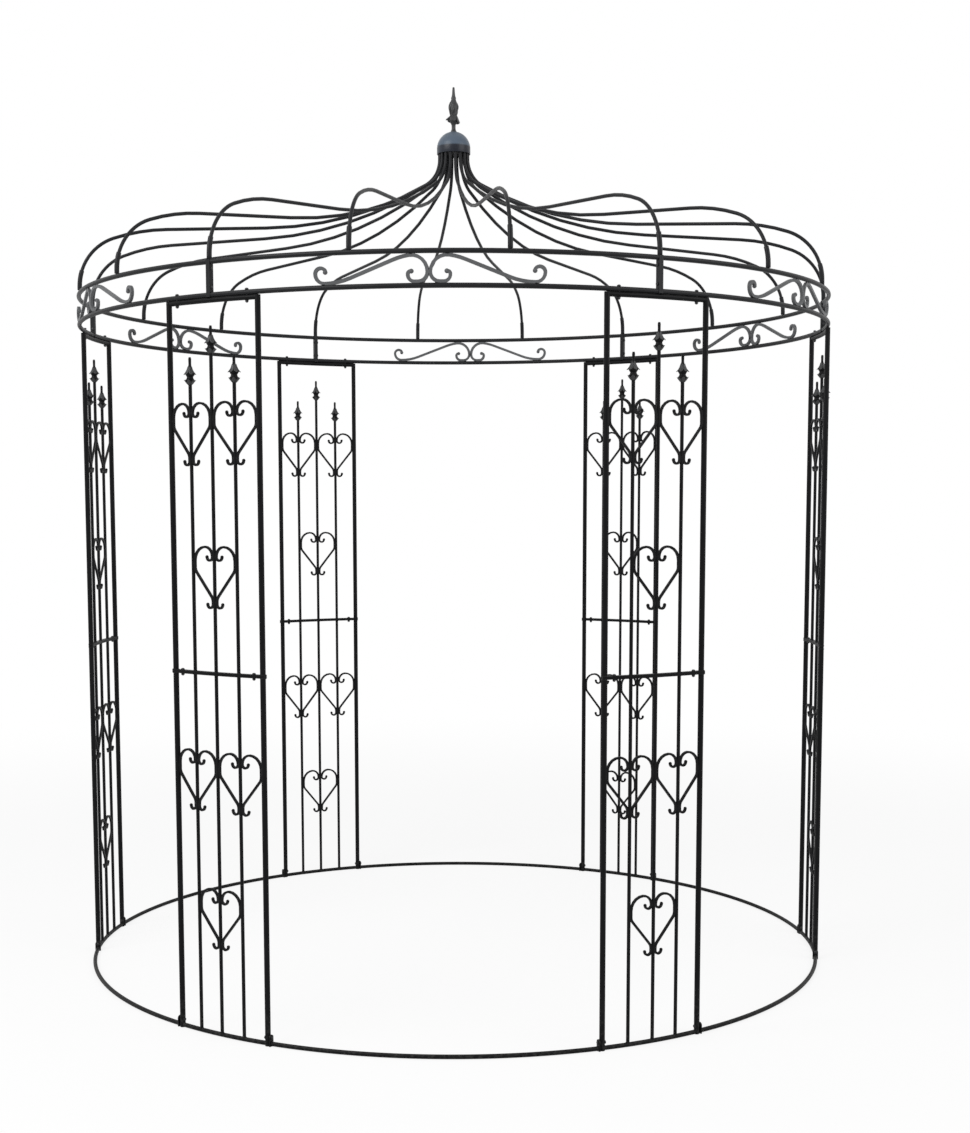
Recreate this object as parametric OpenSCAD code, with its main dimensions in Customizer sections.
// Round wire garden pavilion. Six lattice panels carry a two ring cornice, and eighteen
// bent ribs rise from the cornice to a domed cap with a finial. Six gaps between the
// panels are doorways. Origin: centre of the base circle, on the ground. +Z is up.

/* [Plan] */
// Radius of the base ring and of both cornice rings, at the bar centre
ring_radius = 1150; // [1000:10:1400]
// Width of a lattice panel between its post centres
panel_width = 300; // [260:5:380]

/* [Heights] */
// Height of the joint between lower and upper panels
mid_height = 981; // [950:1:1020]
// Height of the lower cornice ring at its bar centre
cornice_height = 1960; // [1930:5:2100]
// Distance between the two cornice rings at their bar centres
cornice_depth = 84; // [76:1:110]

/* [Bars] */
// Diameter of the base ring's bar
base_d = 12; // [9:0.5:14]
// Diameter of the cornice rings and of the panels' top rails
ring_d = 13; // [10:0.5:15]
// Diameter of the panel posts
post_d = 15; // [12:0.5:20]
// Diameter of the upright bars inside a panel
bar_d = 9.5; // [8:0.5:12]
// Diameter of the roof ribs
rib_d = 10; // [8:0.5:12]
// Side of the square bar that the scrolls are bent from
scroll_bar = 6; // [5:0.5:8]
// Diameter of the ball at a scroll end
ball_d = 9; // [8:0.5:11]

/* [Joints] */
// Thickness of each flat bar of the crossbar joint
crossbar_t = 4.5; // [3:0.5:8]
// Depth of each flat bar of the crossbar joint, across the ring
crossbar_w = 14; // [10:1:20]
// Thickness of the ears that bolt the base arcs to the posts
ear_t = 4; // [3:0.5:6]
// Width of the ears, across the ring
ear_w = 17; // [15:1:22]
// Height of the ears above the ground
ear_h = 31; // [29:1:45]
// Thickness of the end bars of a cornice segment
end_bar_t = 6; // [4:0.5:8]
// Diameter of the bolt holes
bolt_hole_d = 5.5; // [4:0.1:6]
// Height of the base ring's underside over the feet of the posts
ring_lift = 0.5; // [0.3:0.1:2]
// Clearance between bolted pieces
seat_gap = 0.3; // [0.2:0.05:0.5]
// Depth that a welded bar sinks into its neighbour
weld = 1; // [0.8:0.1:1.4]
// Extra diameter of the bead where two bends of a round bar meet
bead = 0.4; // [0.3:0.1:0.8]

/* [Hearts] */
// Height of one heart scroll
heart_h = 166; // [156:1:180]
// Drop from the mid joint to the top of the pair of hearts in a lower panel
lower_pair_drop = 206; // [190:1:220]
// Drop from the mid joint to the top of the single heart in a lower panel
lower_single_drop = 577; // [560:1:600]
// Drop from the lower cornice ring to the top of the pair of hearts in an upper panel
upper_pair_drop = 270; // [260:1:285]
// Drop from the lower cornice ring to the top of the single heart in an upper panel
upper_single_drop = 643; // [620:1:660]
// Radius of the small curls at both ends of a heart scroll
heart_curl_r = 9.5; // [8:0.5:11]
// Slope of a heart's straight flank, from upright
heart_slope = 39.5; // [36:0.5:46]
// Share by which a lobe's outer bend is wider than its inner one
lobe_lean = 0.18; // [0:0.02:0.3]
// Radius of the two bends that lead into and out of a heart's flank
heart_bend_r = 20; // [16:1:24]

/* [Cornice scrolls] */
// Half the width of a scroll pair
scroll_reach = 288; // [260:2:340]
// Side of the square bar that the cornice scrolls are bent from
cornice_bar = 8.5; // [6:0.5:10]
// Diameter of the ball at the end of a cornice scroll
cornice_ball_d = 12; // [10:0.5:14]
// Radius of the curl at the outer end of a cornice scroll
outer_curl_r = 14; // [12:0.5:16]
// Radius of the curl at the inner end of a cornice scroll
inner_curl_r = 17; // [15:0.5:20]
// Radius of the tight ends of those curls
curl_tip_r = 7.5; // [7:0.5:10]
// Radius of the outer curl where it comes down on the lower ring
curl_foot_r = 24; // [20:1:28]
// Radius of the two slack bends of a cornice scroll's long flank
slack_r = 180; // [120:5:190]
// Radius of a cornice scroll where it turns under the upper ring
scroll_top_r = 42; // [38:1:46]
// Length of a cornice scroll that lies along the lower ring before its inner curl
scroll_lie = 10; // [6:1:20]

/* [Spear heads] */
// Drop from the lower cornice ring to the tip over the middle bar of a panel
middle_tip_drop = 77; // [65:1:90]
// Drop from the lower cornice ring to the tips over the two side bars of a panel
side_tip_drop = 154; // [140:1:165]
// Height of a spear head
spear_h = 72; // [65:1:85]
// Width of a spear head over its leaf points
spear_w = 28; // [24:1:34]

/* [Roof] */
// Length of the sleeve that holds the foot of a rib
sleeve_h = 58; // [40:1:70]
// Outer diameter of the sleeve
sleeve_d = 13.5; // [13:0.5:16]
// Straight length of a rib above its foot
leg_h = 9.5; // [5:0.5:16]
// Radius of the rib's shoulder bend
shoulder_r = 154; // [145:1:162]
// Turn of the shoulder bend, in degrees
shoulder_turn = 70; // [66:1:74]
// Radius of the slack bend that follows the shoulder
brow_r = 550; // [500:10:600]
// Rise of the rib's long flank, in degrees
flank_slope = 3.4; // [2.4:0.2:5]
// Radius of the long hollow bend before the cap
hollow_r = 1120; // [1000:10:1200]
// Rise of the rib where the hollow bend turns into the neck bend, in degrees
neck_slope = 30.5; // [27:0.5:33]
// Radius of the neck bend under the cap
neck_r = 97; // [85:1:110]
// Straight length of a rib's top, inside the cap
crown_run = 34.4; // [30:0.1:42]
// Radius of the ring of rib tops under the cap
crown_radius = 44; // [42:0.5:50]

/* [Cap and finial] */
// Space between the rib tops and the cap's skirt
skirt_gap = 1; // [0.5:0.1:3]
// Wall of the cap's skirt
cap_wall = 2; // [1.5:0.5:3]
// Wall of the cap's dome
dome_wall = 3.5; // [3:0.5:5]
// Height of the cap's straight skirt
skirt_h = 20; // [17:1:26]
// Rise of the cap's dome over the skirt
dome_h = 49; // [42:1:49]
// Thickness of the hub's flange over the rib tops
flange_t = 4; // [3:0.5:6]
// Diameter of the stud that holds the finial, the cap and the hub together
stud_d = 8; // [6:0.5:10]
// Height of the finial over the dome
finial_h = 135; // [120:1:150]
// Width of the finial's leaf collar
finial_w = 42; // [36:1:48]

/* [Hidden] */

steel = [0.12, 0.12, 0.13];
slate = [0.30, 0.34, 0.40];
// Facets of a bar, and of a full turn of the big rings
bar_facets = 32;
ring_facets = 180;
$fn = bar_facets;

// Width of the bead at a joint between two bends
bead_w = 3;
// Turn of each facet where a scroll bends, and where it only bends a little
facet_turn = 18;
slack_facet_turn = 6;
// Distance from the middle of a segment at which its scrolls sit on the ring's line
scroll_inner_seat = 30;
// Turns of a cornice scroll's curls: the wide part and the tight end, outside and inside
outer_turns = [130, 60];
inner_turns = [95, 95];
// Slope at which the slack bend of a cornice scroll passes into its bend under the upper ring
slack_end = 8;
// Straight lead between a heart's inner curl and its lobe
lobe_lead = 1;
// Share of a heart's upright run that lies over its flank
over_flank = 0.7;
// Distance from a post to the upright bolts of the crossbars, and to those of the rail
bolt_inset = 28;
rail_bolt_inset = 33;
// Distance from a cornice ring to the bolt that joins two end bars
end_bolt_inset = 18;
// Height of the bolts in the ears
ear_bolt_z = 22;
// Depth of the hub inside the ring of rib tops
hub_depth = 18;

// Plan angles
panel_step = 60;
rib_step = 20;
panel_half = asin(panel_width / 2 / ring_radius);
bar_pitch = panel_width / 4;

// Angle of a bar that stands x from the middle of a panel, on the ring
function bar_angle(x) = asin(x / ring_radius);
// Place of that bar in plan, seen from the panel's middle line
function bar_at(x) = ring_radius * [cos(bar_angle(x)), sin(bar_angle(x))];

// Heights that follow
base_z = ring_lift + base_d / 2;
upper_ring_z = cornice_height + cornice_depth;
rail_z = cornice_height - ring_d - seat_gap;
crossbar_low_z = mid_height - seat_gap / 2 - crossbar_t;
crossbar_high_z = mid_height + seat_gap / 2;
crossbar_reach = panel_half + bar_angle(post_d / 2);
ear_angle = panel_half + bar_angle(post_d / 2 + seat_gap);
rib_foot_z = upper_ring_z + ring_d / 2 + seat_gap;

// A path is a list of steps. ["line", length] goes straight on and ["arc", radius, turn]
// bends, to the left with a positive turn. A pose is [x, y, heading].
function pose_after(at, step) =
    step[0] == "line"
        ? [at[0] + step[1] * cos(at[2]), at[1] + step[1] * sin(at[2]), at[2]]
        : let (side = sign(step[2]), heading = at[2] + step[2])
          [at[0] + side * step[1] * (sin(heading) - sin(at[2])),
           at[1] - side * step[1] * (cos(heading) - cos(at[2])),
           heading];
function path_end(at, steps, i = 0) =
    i == len(steps) ? at : path_end(pose_after(at, steps[i]), steps, i + 1);

// Points beside a path, at a distance to its left: one for each few degrees of a bend
function beside(at, away) = [at[0] - away * sin(at[2]), at[1] + away * cos(at[2])];
function step_parts(step) =
    step[0] == "line" ? 1 : ceil(abs(step[2]) / (step[1] < slack_r ? facet_turn : slack_facet_turn));
function part_of(step, share) =
    step[0] == "line" ? ["line", step[1] * share] : ["arc", step[1], step[2] * share];
function points_beside(at, steps, away) = [
    beside(at, away),
    for (i = 0, p = at; i < len(steps); p = pose_after(p, steps[i]), i = i + 1)
        let (parts = step_parts(steps[i]))
        for (k = [1 : parts]) beside(pose_after(p, part_of(steps[i], k / parts)), away)
];

// A flat scroll of square bar along a path, with a ball at both ends
module scroll(at, steps, bar, ball) {
    left = points_beside(at, steps, bar / 2);
    right = points_beside(at, steps, -bar / 2);
    linear_extrude(height = bar, center = true)
        polygon(concat(left, [for (i = [len(right) - 1 : -1 : 0]) right[i]]));
    finish = path_end(at, steps);
    for (tip = [at, finish]) translate([tip[0], tip[1], 0]) sphere(d = ball);
}

// One step of a path, swept with the child shape as its section
module swept_step(at, step) {
    if (step[0] == "line") {
        translate([at[0], at[1], 0]) rotate([90, 0, at[2] + 90])
            linear_extrude(height = step[1]) children();
    } else {
        side = sign(step[2]);
        centre = [at[0] - side * step[1] * sin(at[2]), at[1] + side * step[1] * cos(at[2])];
        first = side > 0 ? at[2] - 90 : at[2] + 90 + step[2];
        translate([centre[0], centre[1], 0]) rotate([0, 0, first])
            rotate_extrude(angle = abs(step[2])) translate([step[1], 0]) children();
    }
}

// A bar swept along a path in twelve flats, with a bead round each joint of two steps
module round_path(at, steps, d) {
    poses = [for (i = 0, p = at; i < len(steps); p = pose_after(p, steps[i]), i = i + 1) p];
    for (i = [0 : len(steps) - 1]) swept_step(poses[i], steps[i]) circle(d = d, $fn = 12);
    joints = [for (i = 1, p = pose_after(at, steps[0]); i < len(steps);
        p = pose_after(p, steps[i]), i = i + 1) p];
    for (joint = joints) translate([joint[0], joint[1], 0]) rotate([90, 0, joint[2] + 90])
        cylinder(d = d + bead, h = bead_w, center = true, $fn = 12);
}

// A bar bent to the ring, between two plan angles
module ring_arc(z, from, to, d) {
    translate([0, 0, z]) rotate([0, 0, from])
        rotate_extrude(angle = to - from, $fn = ring_facets)
            translate([ring_radius, 0]) circle(d = d, $fn = bar_facets);
}

// An upright round bar on the ring
module upright(x, z, top, d) {
    rotate([0, 0, bar_angle(x)]) translate([ring_radius, 0, z]) cylinder(d = d, h = top - z);
}

// ---- Hearts ----

// Radii of the inner and outer bends of a heart's lobe
function lobe_radii(inner, outer) =
    [for (side = [-1, 1]) (outer - inner) / 2 * (1 + side * lobe_lean)];

// Steps of half a heart: curl, lobe, flank and curl, from bar to neighbour
function heart_steps(inner, outer) =
    let (
        lobes = lobe_radii(inner, outer),
        flank = (outer - inner - 2 * heart_bend_r * (1 - cos(heart_slope))) / sin(heart_slope),
        fall = flank * cos(heart_slope) + 2 * heart_bend_r * sin(heart_slope),
        upright_run = heart_h - scroll_bar - lobes[1] - fall - heart_curl_r
    ) [
        ["arc", heart_curl_r, -180],
        ["line", lobe_lead],
        ["arc", lobes[0], -90],
        ["arc", lobes[1], -90],
        ["line", upright_run * over_flank],
        ["arc", heart_bend_r, -heart_slope],
        ["line", flank],
        ["arc", heart_bend_r, heart_slope],
        ["line", upright_run * (1 - over_flank)],
        ["arc", heart_curl_r, 180]
    ];

// Half a heart, flat between the bar at x and its neighbour, with its top at z
module half_heart(x, neighbour_x, neighbour_d, z) {
    here = bar_at(x);
    there = bar_at(neighbour_x);
    across = there - here;
    inner = bar_d / 2 + scroll_bar / 2 - weld;
    outer = norm(across) - neighbour_d / 2 - scroll_bar / 2 + weld;
    top = -scroll_bar / 2 - lobe_radii(inner, outer)[0];
    start = [inner + 2 * heart_curl_r, top - lobe_lead, -90];
    translate([here[0], here[1], z]) rotate([0, 0, atan2(across[1], across[0])])
        rotate([90, 0, 0]) scroll(start, heart_steps(inner, outer), scroll_bar, ball_d);
}

module heart(x, z) {
    for (side = [-1, 1]) {
        neighbour = x + side * bar_pitch;
        at_post = abs(neighbour) > 1.5 * bar_pitch;
        half_heart(x, neighbour, at_post ? post_d : bar_d, z);
    }
}

// Two hearts side by side over a single one
module heart_rows(pair_z, single_z) {
    for (side = [-1, 1]) heart(side * bar_pitch, pair_z);
    heart(0, single_z);
}

// ---- Panels ----

// Curved flat bar of the bolted joint between the two halves of a panel
module crossbar(z) {
    difference() {
        translate([0, 0, z]) rotate([0, 0, -crossbar_reach])
            rotate_extrude(angle = 2 * crossbar_reach, $fn = ring_facets)
                translate([ring_radius - crossbar_w / 2, 0]) square([crossbar_w, crossbar_t]);
        for (side = [-1, 1]) upright_hole(side, bolt_inset, z, crossbar_t);
    }
}

// Upright bolt hole at a distance from a post
module upright_hole(side, inset, z, h) {
    x = side * (panel_width / 2 - inset);
    upright(x, z - 1, z + h + 1, bolt_hole_d);
}

// Bolt hole through a post, along the ring
module ear_hole(angle) {
    rotate([0, 0, angle]) translate([ring_radius, 0, ear_bolt_z]) rotate([90, 0, 0])
        cylinder(d = bolt_hole_d, h = 2 * post_d, center = true);
}

module lower_panel() {
    color(steel) {
        difference() {
            for (side = [-1, 1]) upright(side * panel_width / 2, 0, crossbar_low_z + weld, post_d);
            for (side = [-1, 1]) ear_hole(side * panel_half);
        }
        ring_arc(base_z, -panel_half, panel_half, base_d);
        for (i = [-1 : 1]) upright(i * bar_pitch, base_z, crossbar_low_z + weld, bar_d);
        crossbar(crossbar_low_z);
        heart_rows(mid_height - lower_pair_drop, mid_height - lower_single_drop);
    }
}

module upper_panel() {
    color(steel) {
        for (side = [-1, 1]) {
            upright(side * panel_width / 2, crossbar_high_z + crossbar_t - weld,
                rail_z + ring_d / 2 - weld, post_d);
        }
        difference() {
            ring_arc(rail_z, -panel_half, panel_half, ring_d);
            for (side = [-1, 1])
                upright_hole(side, rail_bolt_inset, rail_z - ring_d / 2, ring_d);
        }
        for (i = [-1 : 1]) {
            tip = cornice_height - (i == 0 ? middle_tip_drop : side_tip_drop);
            upright(i * bar_pitch, crossbar_high_z + crossbar_t - weld, tip - spear_h + weld, bar_d);
            rotate([0, 0, bar_angle(i * bar_pitch)]) translate([ring_radius, 0, tip - spear_h])
                spear_head();
        }
        crossbar(crossbar_high_z);
        heart_rows(cornice_height - upper_pair_drop, cornice_height - upper_single_drop);
    }
}

// Cast head with two tiers of leaf points under a ball
module spear_head() {
    h = spear_h;
    r = spear_w / 2;
    foot = bar_d / 2;
    rotate_extrude() polygon([
        [0, 0], [foot, 0], [r * 0.5, h * 0.05], [r * 0.82, h * 0.13], [r * 0.92, h * 0.18],
        [r * 0.66, h * 0.23], [r * 0.58, h * 0.29], [r * 0.8, h * 0.36], [r, h * 0.42],
        [r * 0.66, h * 0.46], [r * 0.48, h * 0.54], [r * 0.32, h * 0.66], [r * 0.26, h * 0.75],
        [r * 0.28, h * 0.94], [r * 0.2, h], [0, h]
    ]);
}

// ---- Base ----

module base_arc() {
    far = panel_step - ear_angle;
    color(steel) {
        ring_arc(base_z, ear_angle, far, base_d);
        rotate([0, 0, ear_angle]) ear();
        rotate([0, 0, far]) mirror([0, 1, 0]) ear();
    }
}

// Upright ear with a round top, flat against the side of a post
module ear() {
    translate([ring_radius, 0, 0]) rotate([90, 0, 0]) mirror([0, 0, 1])
        linear_extrude(height = ear_t) difference() {
            union() {
                translate([-ear_w / 2, 0]) square([ear_w, ear_h - ear_w / 2]);
                translate([0, ear_h - ear_w / 2]) circle(d = ear_w);
            }
            translate([0, ear_bolt_z]) circle(d = bolt_hole_d);
        }
}

// ---- Cornice ----

// Pose at which a left bend begins, from the pose at its end
function pose_before(at, radius, turn) =
    let (heading = at[2] - turn)
    [at[0] + radius * (sin(heading) - sin(at[2])), at[1] - radius * (cos(heading) - cos(at[2])),
     heading];

// Steps of one cornice scroll, from its outer curl to its inner curl. Its outer curl comes down
// on the lower ring at foot, and two slack bends lead on to the bend under the upper ring.
function scroll_steps(foot, high) =
    let (
        top = [-cornice_bar / 2 + weld - scroll_top_r, high - scroll_top_r],
        brow = top + (slack_r - scroll_top_r) * [sin(slack_end), -cos(slack_end)],
        across = brow - [foot[0], foot[1] + slack_r],
        share = min(1, 2 * slack_r / norm(across)),
        rise = atan2(across[1], across[0]) + asin(share)
    ) [
        ["arc", curl_tip_r, outer_turns[1]],
        ["arc", outer_curl_r, outer_turns[0]],
        ["arc", curl_foot_r, 90],
        ["arc", slack_r, rise],
        ["line", norm(across) * sqrt(1 - share * share)],
        ["arc", slack_r, slack_end - rise],
        ["arc", scroll_top_r, -90 - slack_end],
        ["arc", top[1] - foot[1], -90],
        ["line", scroll_lie],
        ["arc", inner_curl_r, -inner_turns[0]],
        ["arc", curl_tip_r, -inner_turns[1]]
    ];

module cornice_scroll() {
    low = ring_d / 2 + cornice_bar / 2 - weld;
    foot = [-scroll_reach + curl_foot_r, low];
    side = [-scroll_reach, low + curl_foot_r, -90];
    start =
        pose_before(pose_before(side, outer_curl_r, outer_turns[0]), curl_tip_r, outer_turns[1]);
    inner_angle = bar_angle(scroll_inner_seat);
    outer_angle = bar_angle(scroll_reach - curl_foot_r);
    seat = ring_radius * [cos(inner_angle), -sin(inner_angle)];
    chord = -(inner_angle + outer_angle) / 2;
    translate([seat[0], seat[1], cornice_height]) rotate([0, 0, chord + 90])
        translate([scroll_inner_seat, 0, 0]) rotate([90, 0, 0])
            scroll(start, scroll_steps(foot, cornice_depth - low), cornice_bar, cornice_ball_d);
}

// Upright bar that closes the end of a segment and bolts to the next one
module end_bar() {
    width = ring_d + 2 * weld;
    difference() {
        translate([ring_radius - width / 2, seat_gap / 2, cornice_height - ring_d / 2 + weld])
            cube([width, end_bar_t, cornice_depth + ring_d - 2 * weld]);
        for (z = [cornice_height + end_bolt_inset, upper_ring_z - end_bolt_inset])
            translate([ring_radius, 0, z]) rotate([90, 0, 0])
                cylinder(d = bolt_hole_d, h = 4 * end_bar_t, center = true);
    }
}

module cornice_segment() {
    tip = bar_angle(seat_gap / 2 + end_bar_t - weld);
    color(steel) {
        difference() {
            ring_arc(cornice_height, tip, panel_step - tip, ring_d);
            upright_hole(1, rail_bolt_inset, cornice_height - ring_d / 2, ring_d);
            rotate([0, 0, panel_step])
                upright_hole(-1, rail_bolt_inset, cornice_height - ring_d / 2, ring_d);
        }
        ring_arc(upper_ring_z, tip, panel_step - tip, ring_d);
        end_bar();
        rotate([0, 0, panel_step]) mirror([0, 1, 0]) end_bar();
        rotate([0, 0, panel_step / 2]) {
            cornice_scroll();
            mirror([0, 1, 0]) cornice_scroll();
        }
    }
}

// ---- Roof ----

// Steps of the sleeve, which covers the foot of a rib and follows its bend
sleeve_turn = (sleeve_h - leg_h) / shoulder_r * 180 / PI;
sleeve_steps = [["line", leg_h], ["arc", shoulder_r, sleeve_turn]];

// Steps of a rib from the bend above its foot to the hub, in its own upright plane
function rib_steps(at) =
    let (
        shoulder = ["arc", shoulder_r, shoulder_turn],
        brow = ["arc", brow_r, 90 - shoulder_turn - flank_slope],
        hollow = ["arc", hollow_r, flank_slope - neck_slope],
        neck = ["arc", neck_r, neck_slope - 90],
        hollow_run = hollow_r * (sin(neck_slope) - sin(flank_slope)),
        neck_run = neck_r * (1 - sin(neck_slope)),
        browed = path_end(at, [shoulder, brow]),
        flank = (browed[0] - crown_radius - hollow_run - neck_run) / cos(flank_slope)
    ) [shoulder, brow, ["line", flank], hollow, neck, ["line", crown_run]];

rib_foot = [ring_radius, rib_foot_z, 90];
rib_start = pose_after(rib_foot, sleeve_steps[0]);

// Heights and sizes of the cap, which follow from where the ribs end
hub_z = path_end(rib_start, rib_steps(rib_start))[1];
cap_r = crown_radius + rib_d / 2 + skirt_gap + cap_wall;
cap_top_z = hub_z + dome_h;
skirt_z = hub_z - skirt_h;
flange_r = cap_r - cap_wall - seat_gap;
stud_hole_d = stud_d + 2 * seat_gap;
stud_reach = dome_h + hub_depth / 2;

module rib() {
    color(steel) rotate([90, 0, 0]) {
        round_path(rib_foot, sleeve_steps, sleeve_d);
        round_path(rib_start, rib_steps(rib_start), rib_d);
    }
}

// Plug inside the ring of rib tops, with a flange over them
module roof_hub() {
    plug_r = crown_radius - rib_d / 2 - seat_gap;
    color(steel) difference() {
        union() {
            translate([0, 0, hub_z - hub_depth]) cylinder(r = plug_r, h = hub_depth + 1);
            translate([0, 0, hub_z]) cylinder(r = flange_r, h = flange_t);
        }
        translate([0, 0, hub_z - hub_depth - 1])
            cylinder(d = stud_hole_d, h = hub_depth + flange_t + 2);
    }
}

// Domed cap: its skirt hides the rib tops and its inner step rests on the hub's flange
module cap_dome() {
    dome_r = (cap_r * cap_r + dome_h * dome_h) / (2 * dome_h);
    dome_z = cap_top_z - dome_r;
    step_z = hub_z + flange_t;
    color(slate) difference() {
        union() {
            translate([0, 0, skirt_z]) cylinder(r = cap_r, h = skirt_h);
            intersection() {
                translate([0, 0, dome_z]) sphere(r = dome_r, $fn = 96);
                translate([0, 0, hub_z - 1]) cylinder(r = cap_r, h = dome_h + 2);
            }
        }
        translate([0, 0, skirt_z - 1]) cylinder(r = cap_r - cap_wall, h = step_z - skirt_z + 1);
        intersection() {
            translate([0, 0, dome_z]) sphere(r = dome_r - dome_wall, $fn = 96);
            translate([0, 0, step_z - 1]) cylinder(r = cap_r, h = dome_h);
        }
        translate([0, 0, hub_z]) cylinder(d = stud_hole_d, h = 2 * dome_h);
    }
}

// Cast finial on its stud: leaf collar, bulb and long tip
module finial() {
    h = finial_h;
    r = finial_w / 2;
    color(steel) translate([0, 0, cap_top_z]) {
        rotate_extrude() polygon([
            [0, 0], [r * 0.42, 0], [r * 0.42, h * 0.02], [r * 0.3, h * 0.06],
            [r * 0.3, h * 0.155], [r, h * 0.2], [r * 0.92, h * 0.28], [r * 0.6, h * 0.35],
            [r * 0.4, h * 0.395], [r * 0.62, h * 0.43], [r * 0.8, h * 0.5], [r * 0.8, h * 0.55],
            [r * 0.62, h * 0.63], [r * 0.34, h * 0.7], [r * 0.28, h * 0.74], [r * 0.3, h * 0.77],
            [r * 0.2, h * 0.86], [r * 0.11, h], [0, h]
        ]);
        translate([0, 0, -stud_reach]) cylinder(d = stud_d, h = stud_reach + 1);
    }
}

// ---- Placing ----

module at_panel(i) { rotate([0, 0, panel_step * (i - 1)]) children(); }
// The plain ribs stand on the steps of the ring that the main ribs leave free
module at_roof_rib(i) { rotate([0, 0, rib_step * (i + floor((i - 1) / 2))]) children(); }

at_panel(1) base_arc();  // base_arc_1
at_panel(1) lower_panel();  // lower_panel_1
at_panel(1) upper_panel();  // upper_panel_1
at_panel(1) cornice_segment();  // cornice_segment_1
at_panel(1) rib();  // main_rib_1
at_panel(2) base_arc();  // base_arc_2
at_panel(2) lower_panel();  // lower_panel_2
at_panel(2) upper_panel();  // upper_panel_2
at_panel(2) cornice_segment();  // cornice_segment_2
at_panel(2) rib();  // main_rib_2
at_panel(3) base_arc();  // base_arc_3
at_panel(3) lower_panel();  // lower_panel_3
at_panel(3) upper_panel();  // upper_panel_3
at_panel(3) cornice_segment();  // cornice_segment_3
at_panel(3) rib();  // main_rib_3
at_panel(4) base_arc();  // base_arc_4
at_panel(4) lower_panel();  // lower_panel_4
at_panel(4) upper_panel();  // upper_panel_4
at_panel(4) cornice_segment();  // cornice_segment_4
at_panel(4) rib();  // main_rib_4
at_panel(5) base_arc();  // base_arc_5
at_panel(5) lower_panel();  // lower_panel_5
at_panel(5) upper_panel();  // upper_panel_5
at_panel(5) cornice_segment();  // cornice_segment_5
at_panel(5) rib();  // main_rib_5
at_panel(6) base_arc();  // base_arc_6
at_panel(6) lower_panel();  // lower_panel_6
at_panel(6) upper_panel();  // upper_panel_6
at_panel(6) cornice_segment();  // cornice_segment_6
at_panel(6) rib();  // main_rib_6
at_roof_rib(1) rib();  // roof_rib_1
at_roof_rib(2) rib();  // roof_rib_2
at_roof_rib(3) rib();  // roof_rib_3
at_roof_rib(4) rib();  // roof_rib_4
at_roof_rib(5) rib();  // roof_rib_5
at_roof_rib(6) rib();  // roof_rib_6
at_roof_rib(7) rib();  // roof_rib_7
at_roof_rib(8) rib();  // roof_rib_8
at_roof_rib(9) rib();  // roof_rib_9
at_roof_rib(10) rib();  // roof_rib_10
at_roof_rib(11) rib();  // roof_rib_11
at_roof_rib(12) rib();  // roof_rib_12
roof_hub();
cap_dome();
finial();
